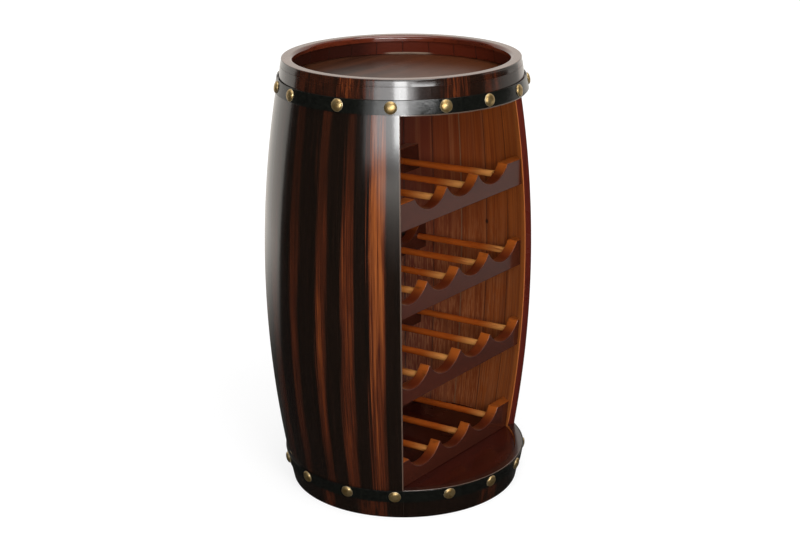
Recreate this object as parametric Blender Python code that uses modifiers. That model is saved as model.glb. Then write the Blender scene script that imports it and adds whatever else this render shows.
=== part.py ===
# Barrel wine rack: a small barrel stood on end, its front cut open between the hoops, with four
# shelves of scalloped rails and rods inside. Metres, +Z up, floor at z = 0, the opening faces -Y.

import math

import bmesh
import bpy
import numpy as np
from mathutils import Matrix, Vector

# Barrel
HEIGHT = 0.708
END_RADIUS = 0.1885
SWELL = 0.0365
STAVE_THICKNESS = 0.012
STAVE_COUNT = 18
STAVE_TURN = math.radians(2)
BELLY_STEPS = 10
STAVE_FACETS = 2

# Opening, cut through the staves between the hoops
OPENING_ANGLE = math.radians(108)
OPENING_FOOT = 0.052
OPENING_HEAD_DROP = 0.053
SHORT_STAVE_COUNT = 8
SEAM_DEPTH = 0.0015
SEAM_WIDTH = 0.0004

# Rim moulding and the collar that the top hoop is driven down over
RIM_HEIGHT = 0.011
RIM_WIDTH = 0.0185
RIM_ROUND = 0.006
RIM_ROUND_STEPS = 3
RIM_EASE = 0.0015
COLLAR_STEP = 0.0015
COLLAR_OVERLAP = 0.003

# Boards let into a groove, the croze, round the inside of the staves
TRAY_DEPTH = 0.032
TRAY_THICKNESS = 0.010
TRAY_BEVEL_DROP = 0.0015
TRAY_FLAT_INSET = 0.0022
FLOOR_TOP = 0.0465
FLOOR_THICKNESS = 0.012
CROZE_DEPTH = 0.005
BOARD_EASE = 0.001

# Hoops and their studs
HOOP_WIDTH = 0.0212
HOOP_THICKNESS = 0.002
TOP_HOOP_DROP = 0.0292
BOTTOM_HOOP_FOOT = 0.0304
STUD_COUNT = 15
STUD_TURN = math.radians(-10)
STUD_RADIUS = 0.00925
STUD_HEIGHT = 0.0055
STUD_SINK = 0.001
STUD_SIDES = 10
STUD_RINGS = 3
FACETS_PER_STUD = 4

# Shelves, numbered from the top; the lowest stands on the floor board
RAIL_THICKNESS = 0.019
RAIL_HEIGHT = 0.044
BACK_RAIL_DROP = 0.008
SHELF_1_HEADROOM = 0.1327
SHELF_2_DROP = 0.1435
SHELF_3_RISE = 0.1485
SHELF_1_SETBACK = 0.107
SHELF_2_SETBACK = 0.114
SHELF_3_SETBACK = 0.110
SHELF_4_SETBACK = 0.121
SHELF_1_SCALLOPS = 3
SHELF_2_SCALLOPS = 4
SHELF_3_SCALLOPS = 4
SHELF_4_SCALLOPS = 3
SCALLOP_PITCH = 0.0853
SCALLOP_DEPTH = 0.0235
SCALLOP_FLAT = 0.002
SCALLOP_FACETS = 10
END_BLOCK_LEAST = 0.001

# Rods between the rails of a shelf, seated in blind holes under the crests
ROD_RADIUS = 0.005
ROD_DROP = 0.020
ROD_SEAT = 0.010
ROD_SIDES = 12

# Clearance between pieces that touch, facets of the turned pieces, and how the meshes are cut and joined
FIT = 0.0003
TURN_STEPS = 48
OVERSHOOT = 0.02
MERGE = 0.00001
SHARP_EDGE = math.radians(30)

# Worked out from the sizes above
STAVE_TOP = HEIGHT - RIM_HEIGHT
OPENING_HEAD = HEIGHT - OPENING_HEAD_DROP
TRAY_TOP = HEIGHT - TRAY_DEPTH
TONGUE_TOP = TRAY_TOP - TRAY_BEVEL_DROP
TONGUE_THICKNESS = TRAY_THICKNESS - TRAY_BEVEL_DROP
RIM_BORE = END_RADIUS - RIM_WIDTH
TOP_HOOP_HEAD = HEIGHT - TOP_HOOP_DROP
COLLAR_FOOT = TOP_HOOP_HEAD - COLLAR_OVERLAP
STAVE_ANGLE = (2 * math.pi - OPENING_ANGLE) / STAVE_COUNT
SHORT_STAVE_ANGLE = OPENING_ANGLE / SHORT_STAVE_COUNT
WIDEST_STAVE_ANGLE = max(STAVE_ANGLE + abs(STAVE_TURN), SHORT_STAVE_ANGLE)
HALF_FACET = WIDEST_STAVE_ANGLE / STAVE_FACETS / 2
LEVELS = np.linspace(0, HEIGHT, BELLY_STEPS + 1)


def new_collection(name):
    collection = bpy.data.collections.new(name)
    bpy.context.scene.collection.children.link(collection)
    return collection


def finish(name, colour, roughness, metallic=0.0):
    # A plain material with the colour that the piece has in daylight.
    made = bpy.data.materials.new(name)
    made.use_nodes = True
    surface = made.node_tree.nodes["Principled BSDF"]
    surface.inputs["Base Color"].default_value = (*colour, 1)
    surface.inputs["Roughness"].default_value = roughness
    surface.inputs["Metallic"].default_value = metallic
    return made


def wall_radius(z):
    # Outside of the staves: one circular arc from end to end, taken at the levels of their facets.
    arc = ((HEIGHT / 2) ** 2 + SWELL ** 2) / (2 * SWELL)
    swell = np.sqrt(arc ** 2 - (LEVELS - HEIGHT / 2) ** 2) - arc + SWELL
    return float(np.interp(z, LEVELS, END_RADIUS + swell))


def room_radius(z):
    return wall_radius(z) - STAVE_THICKNESS


def collar_radius(z):
    # The collar tapers straight from a step behind the top hoop to the rim's own radius.
    foot = wall_radius(COLLAR_FOOT) - COLLAR_STEP
    return float(np.interp(z, [COLLAR_FOOT, HEIGHT], [foot, END_RADIUS]))


def croze(top, thickness):
    # Lower edge, upper edge and radius of the groove that takes a board.
    low = top - thickness - FIT
    high = top + FIT
    return low, high, room_radius((low + high) / 2) + CROZE_DEPTH


CROZES = [croze(FLOOR_TOP, FLOOR_THICKNESS), croze(TONGUE_TOP, TONGUE_THICKNESS)]


def levels_between(low, high):
    return [float(z) for z in LEVELS if low < z < high]


def stave_section(low, high):
    # Closed outline in (radius, height): down the outside, then up the inside and into each croze.
    if high > COLLAR_FOOT:
        foot = COLLAR_FOOT
        outside = [(collar_radius(high), high), (collar_radius(foot), foot), (wall_radius(foot), foot)]
    else:
        foot = high
        outside = [(wall_radius(high), high)]
    outside += [(wall_radius(z), z) for z in reversed(levels_between(low, foot))]
    outside.append((wall_radius(low), low))

    cut = [groove for groove in CROZES if low < groove[0] and groove[1] < high]
    steps = [[(room_radius(z), z)] for z in [low, *levels_between(low, high), high]
             if not any(start <= z <= end for start, end, radius in cut)]
    for start, end, radius in cut:
        steps.append([(room_radius(start), start), (radius, start), (radius, end), (room_radius(end), end)])
    steps.sort(key=lambda points: points[0][1])
    return outside + [point for points in steps for point in points]


def sector_mesh(name, section, middle, sweep, facets):
    # A section turned about Z through part of a circle round the azimuth of its middle.
    start = middle - sweep / 2
    shape = bmesh.new()
    corners = [shape.verts.new((r * math.sin(start), -r * math.cos(start), z)) for r, z in section]
    shape.faces.new(corners)
    everything = shape.verts[:] + shape.edges[:] + shape.faces[:]
    bmesh.ops.spin(shape, geom=everything, cent=(0, 0, 0), axis=(0, 0, 1), angle=sweep, steps=facets)
    bmesh.ops.recalc_face_normals(shape, faces=shape.faces)
    return mesh_from(shape, name)


def mesh_from(shape, name):
    mesh = bpy.data.meshes.new(name)
    shape.to_mesh(mesh)
    shape.free()
    mesh.shade_smooth()
    mesh.set_sharp_from_angle(angle=SHARP_EDGE)
    return mesh


def place(name, mesh, collection, axis, material=None):
    # A piece or a cutter that is measured from the barrel's axis.
    piece = bpy.data.objects.new(name, mesh)
    collection.objects.link(piece)
    piece.parent = axis
    if material:
        mesh.materials.append(material)
    return piece


def as_cutter(piece):
    piece.display_type = "WIRE"
    piece.hide_render = True
    return piece


def turned(name, profile, collection, axis, material=None, closed=True, steps=TURN_STEPS):
    # A profile in (radius, height), down its outer side, turned right round the barrel's axis.
    mesh = bpy.data.meshes.new(name)
    count = len(profile)
    edges = [(i, (i + 1) % count) for i in range(count if closed else count - 1)]
    mesh.from_pydata([(r, 0, z) for r, z in profile], edges, [])
    piece = place(name, mesh, collection, axis, material)
    screw = piece.modifiers.new("turn", "SCREW")
    screw.axis = "Z"
    screw.angle = 2 * math.pi
    screw.steps = steps
    screw.render_steps = steps
    screw.use_merge_vertices = True
    screw.merge_threshold = MERGE
    screw.use_smooth_shade = True
    return piece


def combine(piece, other, operation):
    step = piece.modifiers.new(operation.lower(), "BOOLEAN")
    step.operation = operation
    step.solver = "EXACT"
    step.object = other


def make_staves(parts, cutters, axis, material):
    # Whole staves go round the back; short ones close the front above and below the opening. The joints
    # are turned a little from the opening's two sides, so its first stave is wider and its last narrower.
    joint = FIT / END_RADIUS
    half_opening = OPENING_ANGLE / 2
    whole = stave_section(0, STAVE_TOP)
    inner_edges = [half_opening + STAVE_TURN + STAVE_ANGLE * i for i in range(1, STAVE_COUNT)]
    edges = [half_opening, *inner_edges, 2 * math.pi - half_opening]
    for i, (start, end) in enumerate(zip(edges, edges[1:]), 1):
        name = f"stave_{i:02d}"
        mesh = sector_mesh(name, whole, (start + end) / 2, end - start - joint, STAVE_FACETS)
        place(name, mesh, parts, axis, material)

    above = stave_section(OPENING_HEAD, STAVE_TOP)
    for i in range(SHORT_STAVE_COUNT):
        middle = SHORT_STAVE_ANGLE * (i + 0.5) - half_opening
        name = f"top_short_stave_{i + 1}"
        mesh = sector_mesh(name, above, middle, SHORT_STAVE_ANGLE - joint, STAVE_FACETS)
        place(name, mesh, parts, axis, material)

    below = stave_section(0, OPENING_FOOT)
    facets = STAVE_FACETS * SHORT_STAVE_COUNT
    mesh = sector_mesh("bottom_short_staves", below, 0, OPENING_ANGLE - joint, facets)
    row = place("bottom_short_staves", mesh, parts, axis, material)
    combine(row, make_seams(cutters, axis), "DIFFERENCE")


def make_seams(cutters, axis):
    # Thin blades that open the inner side of the joints between the short staves under the opening.
    outer = room_radius(0) + SEAM_DEPTH
    inner = room_radius(0) - OVERSHOOT
    size = Matrix.Diagonal((outer - inner, SEAM_WIDTH, 2 * HEIGHT, 1))
    shape = bmesh.new()
    for i in range(1, SHORT_STAVE_COUNT):
        azimuth = SHORT_STAVE_ANGLE * i - OPENING_ANGLE / 2
        turn = Matrix.Rotation(azimuth - math.pi / 2, 4, "Z")
        offset = Matrix.Translation(((outer + inner) / 2, 0, 0))
        bmesh.ops.create_cube(shape, size=1, matrix=turn @ offset @ size)
    return as_cutter(place("seam_blades", mesh_from(shape, "seam_blades"), cutters, axis))


def make_rim(parts, axis, material):
    # The moulding lies on the staves' top ends, with a rounded inner edge over the tray.
    low = STAVE_TOP + FIT
    profile = [(END_RADIUS - RIM_EASE, HEIGHT), (END_RADIUS, HEIGHT - RIM_EASE), (collar_radius(low), low),
               (RIM_BORE + RIM_EASE, low), (RIM_BORE, low + RIM_EASE)]
    for step in range(RIM_ROUND_STEPS + 1):
        angle = math.pi / 2 * step / RIM_ROUND_STEPS
        radius = RIM_BORE + RIM_ROUND * (1 - math.cos(angle))
        profile.append((radius, HEIGHT - RIM_ROUND * (1 - math.sin(angle))))
    return turned("rim_ring", profile, parts, axis, material)


def tray_face():
    # Flat as far as the rim lets a plate through, then falling to the tongue, as a barrel's head does.
    flat = RIM_BORE * math.cos(math.pi / TURN_STEPS) - TRAY_FLAT_INSET
    wall = room_radius(TRAY_TOP) * math.cos(HALF_FACET) - FIT
    return [(0, TRAY_TOP), (flat, TRAY_TOP), (wall, TONGUE_TOP)]


def make_board(name, face, top, thickness, parts, axis, material):
    # A round board with a face in (radius, height), whose eased edge lies in its croze.
    radius = croze(top, thickness)[2] * math.cos(HALF_FACET) - FIT
    bottom = top - thickness
    edge = [(radius - BOARD_EASE, top), (radius, top - BOARD_EASE), (radius, bottom + BOARD_EASE),
            (radius - BOARD_EASE, bottom), (0, bottom)]
    return turned(name, face + edge, parts, axis, material, closed=False)


def hoop_radius(z, steps):
    # Inside of a hoop: its flats just clear the staves' corners.
    return (wall_radius(z) + FIT) / math.cos(math.pi / steps)


def make_hoop(name, foot, parts, cutters, axis, material):
    # A flat steel band on the swell; four facets go with each stud, so that all studs sit alike.
    steps = FACETS_PER_STUD * STUD_COUNT
    head = foot + HOOP_WIDTH
    inner_foot = hoop_radius(foot, steps)
    inner_head = hoop_radius(head, steps)
    profile = [(inner_head + HOOP_THICKNESS, head), (inner_foot + HOOP_THICKNESS, foot),
               (inner_foot, foot), (inner_head, head)]
    hoop = turned(name, profile, parts, axis, material, steps=steps)
    turn = STUD_TURN - math.pi / 2 - math.pi / steps
    hoop.rotation_euler = (0, 0, turn)

    flat = math.cos(math.pi / steps)
    seat = ((inner_foot + inner_head) / 2 + HOOP_THICKNESS) * flat
    slope = math.atan2(inner_foot - inner_head, HOOP_WIDTH)
    stud = stud_mesh()
    studs = bmesh.new()
    for i in range(STUD_COUNT):
        angle = 2 * math.pi * i / STUD_COUNT + math.pi / steps
        add_stud(studs, stud, angle, seat, (foot + head) / 2, slope)
    bpy.data.meshes.remove(stud)
    heads = as_cutter(place(f"{name}_studs", mesh_from(studs, f"{name}_studs"), cutters, axis))
    heads.rotation_euler = (0, 0, turn)
    combine(hoop, heads, "UNION")
    return hoop


def stud_mesh():
    # A domed nail head: a quarter ellipse over a short skirt, turned about its own axis.
    arcs = [math.pi / 2 * i / STUD_RINGS for i in range(STUD_RINGS)]
    dome = [(STUD_RADIUS * math.cos(a), STUD_HEIGHT * math.sin(a)) for a in arcs]
    profile = [(0, -STUD_SINK), (STUD_RADIUS, -STUD_SINK), *dome, (0, STUD_HEIGHT)]
    shape = bmesh.new()
    points = [shape.verts.new((r, 0, z)) for r, z in profile]
    edges = [shape.edges.new(pair) for pair in zip(points, points[1:])]
    bmesh.ops.spin(shape, geom=points + edges, cent=(0, 0, 0), axis=(0, 0, 1),
                   angle=2 * math.pi, steps=STUD_SIDES)
    bmesh.ops.remove_doubles(shape, verts=shape.verts, dist=MERGE)
    bmesh.ops.recalc_face_normals(shape, faces=shape.faces)
    return mesh_from(shape, "stud")


def add_stud(shape, stud, angle, seat, height, slope):
    # The nail head stands square to the hoop's slope.
    outward = Vector((math.cos(angle) * math.cos(slope), math.sin(angle) * math.cos(slope), math.sin(slope)))
    spot = Matrix.Translation((seat * math.cos(angle), seat * math.sin(angle), height))
    stand = spot @ outward.to_track_quat("Z", "Y").to_matrix().to_4x4()
    first = len(shape.verts)
    shape.from_mesh(stud)
    shape.verts.ensure_lookup_table()
    bmesh.ops.transform(shape, matrix=stand, verts=shape.verts[first:])


def make_room(cutters, axis):
    # The space inside the staves, a fit clear of their flats; it trims the ends of the rails.
    wall = [(room_radius(z) * math.cos(HALF_FACET) - FIT, float(z)) for z in reversed(LEVELS)]
    profile = [(0, HEIGHT), *wall, (0, 0)]
    return as_cutter(turned("room", profile, cutters, axis, closed=False))


def pitch_that_fits(count, reach, crest):
    # The cradles lie closer where the walls are too near, on the rail's outer face at the rods' level.
    wall = min(room_radius(crest), room_radius(crest - ROD_DROP)) * math.cos(HALF_FACET) - FIT
    half_length = math.sqrt(wall ** 2 - reach ** 2)
    return min(SCALLOP_PITCH, 2 * (half_length - END_BLOCK_LEAST) / count)


def rail_outline(count, pitch, crest, foot):
    # Closed outline in (along the rail, height); its ends run on into the wall, which trims them.
    half_chord = (pitch - SCALLOP_FLAT) / 2
    radius = (half_chord ** 2 + SCALLOP_DEPTH ** 2) / (2 * SCALLOP_DEPTH)
    half_arc = math.atan2(half_chord, radius - SCALLOP_DEPTH)
    centre = crest - SCALLOP_DEPTH + radius
    end = END_RADIUS + SWELL
    points = [(-end, crest), (-end, foot), (end, foot), (end, crest)]
    for i in reversed(range(count)):
        middle = (i - (count - 1) / 2) * pitch
        for step in range(SCALLOP_FACETS + 1):
            angle = half_arc * (1 - 2 * step / SCALLOP_FACETS)
            points.append((middle + radius * math.sin(angle), centre - radius * math.cos(angle)))
    return points


def make_rail(name, outline, y, parts, axis, material):
    # A flat outline with thickness, stood upright across the barrel.
    curve = bpy.data.curves.new(name, "CURVE")
    curve.dimensions = "2D"
    curve.fill_mode = "BOTH"
    curve.extrude = RAIL_THICKNESS / 2
    spline = curve.splines.new("POLY")
    spline.points.add(len(outline) - 1)
    spline.use_cyclic_u = True
    for point, (x, z) in zip(spline.points, outline):
        point.co = (x, z, 0, 1)
    guide = bpy.data.objects.new(name + "_outline", curve)
    bpy.context.scene.collection.objects.link(guide)
    guide.location = (0, y, 0)
    guide.rotation_euler = (math.pi / 2, 0, 0)
    bpy.context.view_layer.update()

    solid = bpy.data.meshes.new_from_object(guide.evaluated_get(bpy.context.evaluated_depsgraph_get()))
    stand = guide.matrix_world.copy()
    bpy.data.objects.remove(guide)
    bpy.data.curves.remove(curve)
    shape = bmesh.new()
    shape.from_mesh(solid)
    bpy.data.meshes.remove(solid)
    bmesh.ops.remove_doubles(shape, verts=shape.verts, dist=MERGE)
    bmesh.ops.recalc_face_normals(shape, faces=shape.faces)
    rail = place(name, mesh_from(shape, name), parts, axis, material)
    rail.matrix_basis = stand
    return rail


def rod_matrix(x, reach, height):
    # Middle and lie of a rod: from the front rail's middle plane down to the lower back rail's.
    span = 2 * reach - RAIL_THICKNESS
    along = Vector((0, span, -BACK_RAIL_DROP))
    middle = Vector((x, 0, height - BACK_RAIL_DROP / 2))
    return Matrix.Translation(middle) @ along.to_track_quat("Z", "X").to_matrix().to_4x4()


def rod_shape(shape, matrix, radius, length):
    bmesh.ops.create_cone(shape, cap_ends=True, segments=ROD_SIDES, radius1=radius, radius2=radius,
                          depth=length, matrix=matrix)


def make_shelf(number, count, setback, crest, room, parts, cutters, axis, rail_material, rod_material):
    # Two rails and the rods between them; the back rail lies lower, so that bottles lean back.
    reach = END_RADIUS + SWELL - setback
    pitch = pitch_that_fits(count, reach, crest)
    y = reach - RAIL_THICKNESS / 2
    foot = crest - RAIL_HEIGHT
    back_crest = crest - BACK_RAIL_DROP
    back_foot = max(foot - BACK_RAIL_DROP, FLOOR_TOP + FIT)
    outline = rail_outline(count, pitch, crest, foot)
    front = make_rail(f"front_rail_{number}", outline, -y, parts, axis, rail_material)
    outline = rail_outline(count, pitch, back_crest, back_foot)
    back = make_rail(f"back_rail_{number}", outline, y, parts, axis, rail_material)

    seats = bmesh.new()
    height = crest - ROD_DROP
    slant = math.cos(math.atan2(BACK_RAIL_DROP, 2 * y))
    length = 2 * (reach - RAIL_THICKNESS + ROD_SEAT) / slant
    for i in range(count + 1):
        x = (i - count / 2) * pitch
        matrix = rod_matrix(x, reach, height)
        rod_shape(seats, matrix, ROD_RADIUS + FIT, length + 2 * FIT)
        rod = bmesh.new()
        rod_shape(rod, matrix, ROD_RADIUS, length)
        name = f"shelf_{number}_rod_{i + 1}"
        place(name, mesh_from(rod, name), parts, axis, rod_material)
    name = f"shelf_{number}_seats"
    drill = as_cutter(place(name, mesh_from(seats, name), cutters, axis))
    for rail in (front, back):
        combine(rail, room, "INTERSECT")
        combine(rail, drill, "DIFFERENCE")


def make_rack():
    for old in list(bpy.data.objects):
        bpy.data.objects.remove(old)
    parts = new_collection("barrel_wine_rack")
    cutters = new_collection("cutters")

    # The barrel's axis stands where the middle of the whole rack's bounding box is the origin.
    hoop_front = hoop_radius(TOP_HOOP_HEAD - HOOP_WIDTH, FACETS_PER_STUD * STUD_COUNT) + HOOP_THICKNESS
    axis = bpy.data.objects.new("barrel_axis", None)
    axis.location = (0, (hoop_front - END_RADIUS - SWELL) / 2, 0)
    parts.objects.link(axis)

    lacquer = finish("dark_lacquered_wood", (0.055, 0.022, 0.012), 0.22)
    rim_wood = finish("red_brown_moulding", (0.10, 0.032, 0.018), 0.2)
    tray_wood = finish("tray_wood", (0.06, 0.028, 0.018), 0.4)
    floor_wood = finish("oxblood_floor_wood", (0.055, 0.012, 0.010), 0.25)
    rail_wood = finish("maroon_rail_wood", (0.075, 0.022, 0.014), 0.25)
    rod_wood = finish("light_rod_wood", (0.26, 0.11, 0.035), 0.4)
    band = finish("black_hoop_steel", (0.012, 0.012, 0.011), 0.45, 0.8)

    make_staves(parts, cutters, axis, lacquer)
    make_rim(parts, axis, rim_wood)
    make_board("tray_board", tray_face(), TONGUE_TOP, TONGUE_THICKNESS, parts, axis, tray_wood)
    make_board("floor_board", [(0, FLOOR_TOP)], FLOOR_TOP, FLOOR_THICKNESS, parts, axis, floor_wood)
    make_hoop("top_hoop", TOP_HOOP_HEAD - HOOP_WIDTH, parts, cutters, axis, band)
    make_hoop("bottom_hoop", BOTTOM_HOOP_FOOT, parts, cutters, axis, band)

    room = make_room(cutters, axis)
    crest_1 = OPENING_HEAD - SHELF_1_HEADROOM
    crest_2 = crest_1 - SHELF_2_DROP
    crest_4 = FLOOR_TOP + FIT + RAIL_HEIGHT
    crest_3 = crest_4 + SHELF_3_RISE
    shelves = [(SHELF_1_SCALLOPS, SHELF_1_SETBACK, crest_1), (SHELF_2_SCALLOPS, SHELF_2_SETBACK, crest_2),
               (SHELF_3_SCALLOPS, SHELF_3_SETBACK, crest_3), (SHELF_4_SCALLOPS, SHELF_4_SETBACK, crest_4)]
    for number, (count, setback, crest) in enumerate(shelves, 1):
        make_shelf(number, count, setback, crest, room, parts, cutters, axis, rail_wood, rod_wood)


make_rack()
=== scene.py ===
import math

import bpy
import numpy as np
from mathutils import Matrix


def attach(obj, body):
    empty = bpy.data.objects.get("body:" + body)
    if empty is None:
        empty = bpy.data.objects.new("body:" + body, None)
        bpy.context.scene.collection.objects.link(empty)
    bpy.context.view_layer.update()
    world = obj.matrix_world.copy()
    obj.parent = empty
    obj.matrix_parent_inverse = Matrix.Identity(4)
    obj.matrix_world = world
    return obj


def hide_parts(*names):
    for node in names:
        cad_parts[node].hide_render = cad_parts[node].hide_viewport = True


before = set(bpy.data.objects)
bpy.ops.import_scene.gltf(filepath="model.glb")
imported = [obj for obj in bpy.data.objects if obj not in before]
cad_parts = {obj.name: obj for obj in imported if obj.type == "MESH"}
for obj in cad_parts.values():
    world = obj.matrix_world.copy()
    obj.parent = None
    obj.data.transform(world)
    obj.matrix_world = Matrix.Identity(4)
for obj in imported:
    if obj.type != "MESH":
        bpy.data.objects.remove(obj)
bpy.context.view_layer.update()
print("frame loaded")

# The barrel in metres, measured from its own upright axis; azimuth 0 faces the opening. The insets draw its
# surface just inside the CAD's, and the play is left between the staves and what stands in them.
barrel = dict(
    axisY=-0.01226, height=0.708, endRadius=0.1885, swell=0.0365, thickness=0.012, inset=0.0003,
    rimInset=0.0001, play=0.0004, staves=18, staveTurn=2.0, shortStaves=8, openingAngle=108.0,
    openingFoot=0.052, openingHead=0.655, staveTop=0.697, collarFoot=0.6758, collarStep=0.0015,
)
halfOpening = barrel["openingAngle"] / 2
staveAngle = (360 - barrel["openingAngle"]) / barrel["staves"]
shortAngle = barrel["openingAngle"] / barrel["shortStaves"]

# Camera at the photograph's angle; heading is level, from the camera to the rack
cameraView = dict(
    focalLength=72.99, sensorWidth=36, distance=2.5132, sideways=-0.0052, height=1.1954,
    heading=(0.7997, 0.6004), pitch=18.425, roll=0.545,
)


def addObject(name, data):
    made = bpy.data.objects.new(name, data)
    bpy.context.scene.collection.objects.link(made)
    return made


def setAxes(thing, right, up, back, spot):
    # the thing's own x, y and z directions and its place, as one matrix
    matrix = np.eye(4)
    matrix[:3] = np.stack([right, up, back, spot], axis=-1)
    thing.matrix_world = Matrix(matrix.tolist())


def addCamera(view):
    # forward (heading cos p, -sin p), right = heading turned by a quarter, up = right x forward, then rolled
    pitch, roll = math.radians(view["pitch"]), math.radians(view["roll"])
    ahead = np.array([*view["heading"], 0.0])
    right = np.array([ahead[1], -ahead[0], 0.0])
    forward = ahead * math.cos(pitch) - np.array([0, 0, math.sin(pitch)])
    up = np.cross(right, forward)
    rolledRight = right * math.cos(roll) - up * math.sin(roll)
    rolledUp = up * math.cos(roll) + right * math.sin(roll)
    spot = right * view["sideways"] - ahead * view["distance"]
    spot += np.array([0, barrel["axisY"], view["height"]])
    data = bpy.data.cameras.new("camera")
    data.lens = view["focalLength"]
    data.sensor_width = view["sensorWidth"]
    camera = addObject("camera", data)
    setAxes(camera, rolledRight, rolledUp, -forward, spot)
    bpy.context.scene.camera = camera


addCamera(cameraView)
print("camera placed")


# Surfaces as grids of points

def pairs(first, second):
    # two rows of numbers, or a row and one number, side by side
    return np.stack(np.broadcast_arrays(first, second), axis=-1)


def turn(radius, height, azimuth):
    # (r, z, a) goes to (r sin a, axis - r cos a, z)
    x = radius * np.sin(azimuth)
    y = barrel["axisY"] - radius * np.cos(azimuth)
    return np.stack([x, y, height + 0 * x], axis=-1)


def circle(side, up, steps):
    # cos t side + sin t up, once round
    angle = 2 * np.pi * np.arange(steps) / steps
    return np.cos(angle)[:, None] * side + np.sin(angle)[:, None] * up


def axesAt(azimuth, rise):
    # right (cos a, sin a, 0), up = out x right, and out (sin a cos r, -cos a cos r, sin r)
    right = np.array([math.cos(azimuth), math.sin(azimuth), 0.0])
    level = math.cos(rise)
    out = np.array([math.sin(azimuth) * level, -math.cos(azimuth) * level, math.sin(rise)])
    return right, np.cross(out, right), out


def gridFaces(rows, columns, closeRows=False, closeColumns=False):
    # quad (i, j), (i, j+1), (i+1, j+1), (i+1, j), where point (i, j) has number i * columns + j
    i = np.arange(rows if closeRows else rows - 1)[:, None]
    j = np.arange(columns if closeColumns else columns - 1)[None, :]
    down, across = (i + 1) % rows, (j + 1) % columns
    corners = [i * columns + j, i * columns + across, down * columns + across, down * columns + j]
    return np.stack(corners, axis=-1).reshape(-1, 4)


def tubeFaces(rows, columns):
    # closed outlines one behind another, and a flat face at each end
    ring = np.arange(columns)[None, :]
    return [gridFaces(rows, columns, closeColumns=True), ring[:, ::-1], ring + (rows - 1) * columns]


def domeFaces(rows, columns):
    # an open profile carried round, and fans from its first and last points to the two poles after the grid
    here, following = np.arange(rows) * columns, (np.arange(rows) + 1) % rows * columns
    last = columns - 1
    start = np.stack([np.full(rows, rows * columns), here, following], axis=-1)
    end = np.stack([np.full(rows, rows * columns + 1), following + last, here + last], axis=-1)
    return [gridFaces(rows, columns, closeRows=True), start, end]


def turned(profile, steps, closed=True):
    # a profile (r, z) carried round the axis; an open one is closed at both ends by a fan on the axis
    radius, height = profile.T
    azimuth = 2 * np.pi * np.arange(steps) / steps
    points = turn(radius[None, :], height[None, :], azimuth[:, None]).reshape(-1, 3)
    faceSets = [gridFaces(steps, len(profile), closeRows=True, closeColumns=True)]
    if not closed:
        points = np.concatenate([points, turn(np.zeros(2), height[[0, -1]], np.zeros(2))])
        faceSets = domeFaces(steps, len(profile))
    return points, faceSets, [np.zeros(len(faces)) for faces in faceSets]


def quarterRound(centre, size, start, steps=5):
    # centre + size (cos t, sin t) over a quarter turn from the start angle, in (r, z)
    angle = np.radians(start) + np.linspace(0, np.pi / 2, steps)
    return pairs(centre[0] + size * np.cos(angle), centre[1] + size * np.sin(angle))


def fanVolume(points, faces):
    # six times the volume under each face: the sum of a . (b x c) over the fan from its first corner
    first = points[faces[:, :1]]
    return float(np.sum(first * np.cross(points[faces[:, 1:-1]], points[faces[:, 2:]])))


def joined(parts):
    # several shapes (points, face sets, picks) as one, with the point numbers moved up
    points, faceSets, picks = [], [], []
    for partPoints, partFaces, partPicks in parts:
        first = sum(map(len, points))
        points.append(partPoints)
        faceSets += [faces + first for faces in partFaces]
        picks += partPicks
    return np.concatenate(points), faceSets, picks


def addPiece(name, shape, nodes, materials, sharp=40):
    # a closed mesh whose faces look outward, riding on the rack in place of its CAD nodes
    points, faceSets, picks = shape
    if sum(fanVolume(points, faces) for faces in faceSets) < 0:
        faceSets = [faces[:, ::-1] for faces in faceSets]
    mesh = bpy.data.meshes.new(name)
    mesh.from_pydata(points.tolist(), [], [face for faces in faceSets for face in faces.tolist()])
    for material in materials:
        mesh.materials.append(material)
    mesh.polygons.foreach_set("material_index", np.concatenate(picks).astype(np.int32))
    mesh.shade_smooth()
    mesh.set_sharp_from_angle(angle=math.radians(sharp))
    piece = addObject(name, mesh)
    piece.modifiers.new("weightedNormals", "WEIGHTED_NORMAL").keep_sharp = True
    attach(piece, "root")
    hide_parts(*nodes)


def wallRadius(z):
    # outside of the staves: endRadius + swell - arc + sqrt(arc^2 - (z - height/2)^2), less the inset
    half, swell = barrel["height"] / 2, barrel["swell"]
    arc = (half ** 2 + swell ** 2) / (2 * swell)
    return barrel["endRadius"] + swell - arc + np.sqrt(arc ** 2 - (z - half) ** 2) - barrel["inset"]


def roomRadius(z):
    return wallRadius(z) - barrel["thickness"]


def collarRadius(z):
    # straight from a step behind the top hoop to the rim
    foot = barrel["collarFoot"]
    ends = [wallRadius(foot) - barrel["collarStep"], barrel["endRadius"] - barrel["rimInset"]]
    return np.interp(z, [foot, barrel["height"]], ends)


# Shader nodes

def paint(red, green, blue):
    # a colour as seen on a screen, 0 to 255, made linear: ((c + 0.055) / 1.055)^2.4
    seen = np.array([red, green, blue]) / 255
    linear = np.where(seen <= 0.04045, seen / 12.92, ((seen + 0.055) / 1.055) ** 2.4)
    return (*linear.tolist(), 1.0)


class Signal:
    # a node's output; arithmetic on it adds the math nodes that do it
    def __init__(self, socket):
        self.socket = socket

    __add__ = lambda a, b: calc("ADD", a, b)
    __radd__ = lambda a, b: calc("ADD", b, a)
    __sub__ = lambda a, b: calc("SUBTRACT", a, b)
    __rsub__ = lambda a, b: calc("SUBTRACT", b, a)
    __mul__ = lambda a, b: calc("MULTIPLY", a, b)
    __truediv__ = lambda a, b: calc("DIVIDE", a, b)
    __pow__ = lambda a, b: calc("POWER", a, b)
    __abs__ = lambda a: calc("ABSOLUTE", a)


def feed(socket, value):
    # a signal is linked, and a constant is set on the socket itself
    if isinstance(value, Signal):
        socket.id_data.links.new(value.socket, socket)
    else:
        socket.default_value = value


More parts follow.
